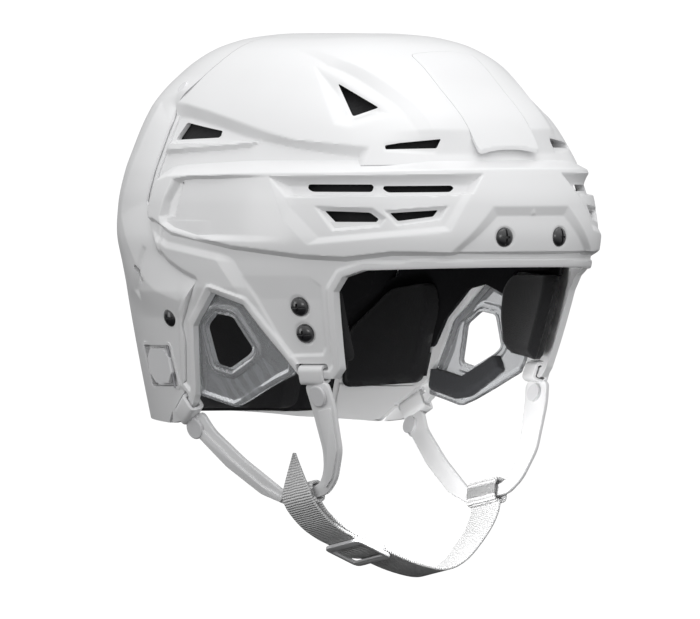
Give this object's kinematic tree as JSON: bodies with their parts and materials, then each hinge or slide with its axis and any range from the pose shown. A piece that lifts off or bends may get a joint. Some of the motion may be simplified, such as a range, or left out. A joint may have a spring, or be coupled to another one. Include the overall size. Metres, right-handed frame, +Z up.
{
  "type": "ice hockey helmet",
  "caption": "White ice hockey helmet: front shell with a sliding rear shell and size latches, clear ear guards, foam padding and a swinging chin strap with webbing and buckle.",
  "frame": {"origin": "centre of the head opening, in the plane of the shell's lower rim", "axes": "+X towards the wearer's left, -Y the front of the helmet, +Z up through the crown"},
  "size_m": [0.2098, 0.2738, 0.2805],
  "materials": {
    "shell_white": "glossy moulded white plastic",
    "guard_clear": "clear moulded plastic",
    "foam_black": "matte black closed-cell foam",
    "foam_white": "white foam",
    "pad_black": "black fabric over foam",
    "strap_white": "satin white moulded strap",
    "web_white": "white woven webbing",
    "steel": "zinc plated steel",
    "screw_black": "black oxide steel",
    "plastic_black": "matte black moulded plastic",
    "plastic_grey": "grey moulded plastic",
    "snap_white": "enamelled snap"
  },
  "bodies": {
    "shell": {"front_shell": "shell_white", "crown_insert": "shell_white", "front_liner": "foam_white", "brow_pad": "pad_black", "crown_pad": "pad_black", "temple_pad_right": "foam_black", "temple_pad_left": "foam_black", "side_pad_right": "foam_black", "side_pad_left": "foam_black", "ear_guard_right": "guard_clear", "ear_guard_left": "guard_clear", "ear_foam_right": "foam_black", "ear_foam_left": "foam_black", "visor_screws": "steel", "visor_nuts": "steel", "side_screws_right": "steel", "side_screws_left": "steel", "side_nuts_right": "steel", "side_nuts_left": "steel", "size_rack_right": "plastic_black", "size_rack_left": "plastic_black"},
    "rear": {"rear_shell": "shell_white", "rear_liner": "foam_white", "occipital_pad": "foam_black", "rear_screw_right": "screw_black", "rear_screw_left": "screw_black", "rear_nut_right": "steel", "rear_nut_left": "steel", "crown_studs": "shell_white", "latch_pin_right": "steel", "latch_pin_left": "steel"},
    "latch_right": {"latch_right": "shell_white"},
    "latch_left": {"latch_left": "shell_white"},
    "loop_right": {"strap_loop_right": "strap_white", "strap_snaps_right": "snap_white"},
    "loop_left": {"strap_loop_left": "strap_white", "strap_snaps_left": "snap_white"},
    "webbing": {"chin_webbing": "web_white", "strap_buckle": "strap_white"}
  },
  "joints": [
    {"name": "rear_slide", "type": "slide", "parent": "shell", "child": "rear", "axis": [0, 1, 0], "range_m": [0, 0.012]},
    {"name": "latch_right_lift", "type": "hinge", "parent": "rear", "child": "latch_right", "pos_m": [-0.08323, 0.05371, 0.02733], "axis": [-0.1887, 0.0542, 0.9805], "range_deg": [0, 60]},
    {"name": "latch_left_lift", "type": "hinge", "parent": "rear", "child": "latch_left", "pos_m": [0.08323, 0.05371, 0.02733], "axis": [-0.1887, -0.0542, -0.9805], "range_deg": [0, 60]},
    {"name": "strap_sway", "type": "hinge", "parent": "shell", "child": "loop_right", "pos_m": [-0.07662, -0.05086, 0.02344], "axis": [0.0048, 0.9848, -0.1738], "range_deg": [-10, 10]},
    {"name": "loop_left_sway", "type": "hinge", "parent": "shell", "child": "loop_left", "pos_m": [0.07662, -0.05086, 0.02344], "axis": [-0.0048, 0.9848, -0.1738], "range_deg": [-11, 11]},
    {"name": "webbing_swing", "type": "hinge", "parent": "loop_right", "child": "webbing", "pos_m": [-0.06225, -0.02688, -0.03884], "axis": [0, 0.9848, -0.1738], "range_deg": [-13, 13]}
  ],
  "couplings": [
    {"joint": "loop_left_sway", "follows": "strap_sway", "ratio": 1},
    {"joint": "webbing_swing", "follows": "strap_sway", "ratio": -1.2289}
  ]
}
